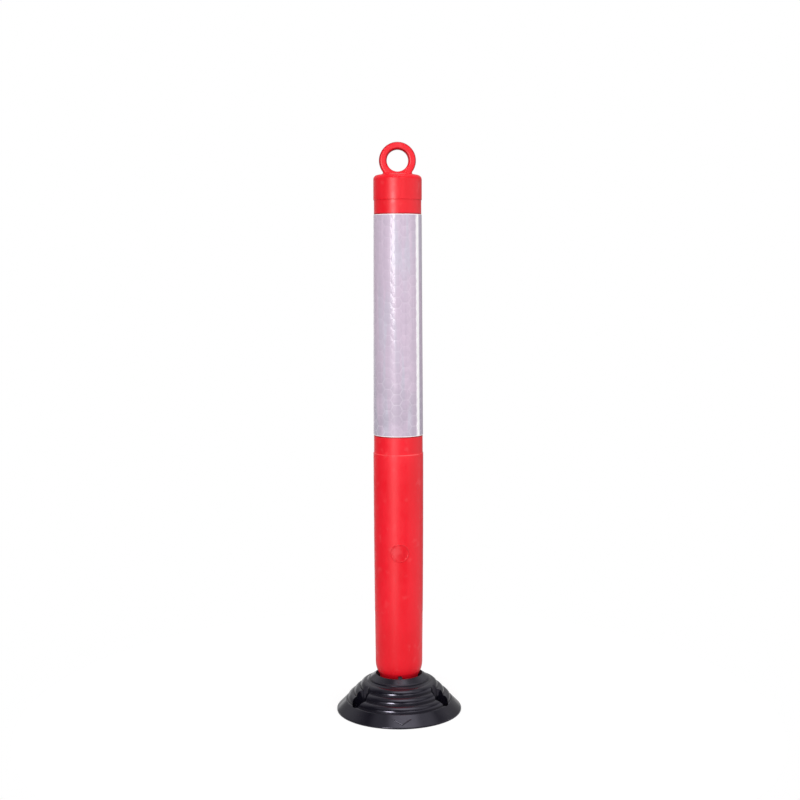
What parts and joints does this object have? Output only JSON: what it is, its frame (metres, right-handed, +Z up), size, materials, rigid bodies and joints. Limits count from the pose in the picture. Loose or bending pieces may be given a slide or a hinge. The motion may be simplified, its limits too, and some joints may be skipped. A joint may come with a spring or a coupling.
{
  "type": "flexible delineator post",
  "caption": "Flexible red plastic road post with reflective sheeting and a ring cap, in a stepped black rubber base that bolts to the ground; it bends over when hit and springs back.",
  "frame": {"origin": "on the floor at the centre of the base", "axes": "+Z up along the post, front of the base (locating lug and chevron) towards -Y, +X to the right seen from the front"},
  "size_m": [0.1664, 0.1664, 0.75],
  "materials": {
    "black_rubber": "satin moulded rubber",
    "red_plastic": "semi-matt moulded plastic",
    "reflective_film": "glossy honeycomb reflective sheeting",
    "zinc_steel": "bright zinc plated",
    "nylon": "natural nylon"
  },
  "bodies": {
    "base": {"rubber_base": "black_rubber", "post_foot": "red_plastic", "centre_bolt": "zinc_steel", "clamp_washer_lower": "zinc_steel", "clamp_washer_upper": "zinc_steel", "lock_nut": "zinc_steel", "lock_nut_insert": "nylon"},
    "flex": {"post_flex_section": "red_plastic"},
    "post": {"post_upper_tube": "red_plastic", "ring_cap": "red_plastic", "reflective_sheet": "reflective_film"}
  },
  "joints": [
    {"name": "bend_front_back", "type": "hinge", "parent": "base", "child": "flex", "pos_m": [0, 0, 0.104], "axis": [1, 0, 0], "range_deg": [-90, 90], "stiffness_Nm_per_rad": 30, "deforming": ["post_flex_section"]},
    {"name": "bend_left_right", "type": "hinge", "parent": "flex", "child": "post", "pos_m": [0, 0, 0.198], "axis": [0, 1, 0], "range_deg": [-90, 90], "stiffness_Nm_per_rad": 30, "deforming": ["post_flex_section"]}
  ]
}
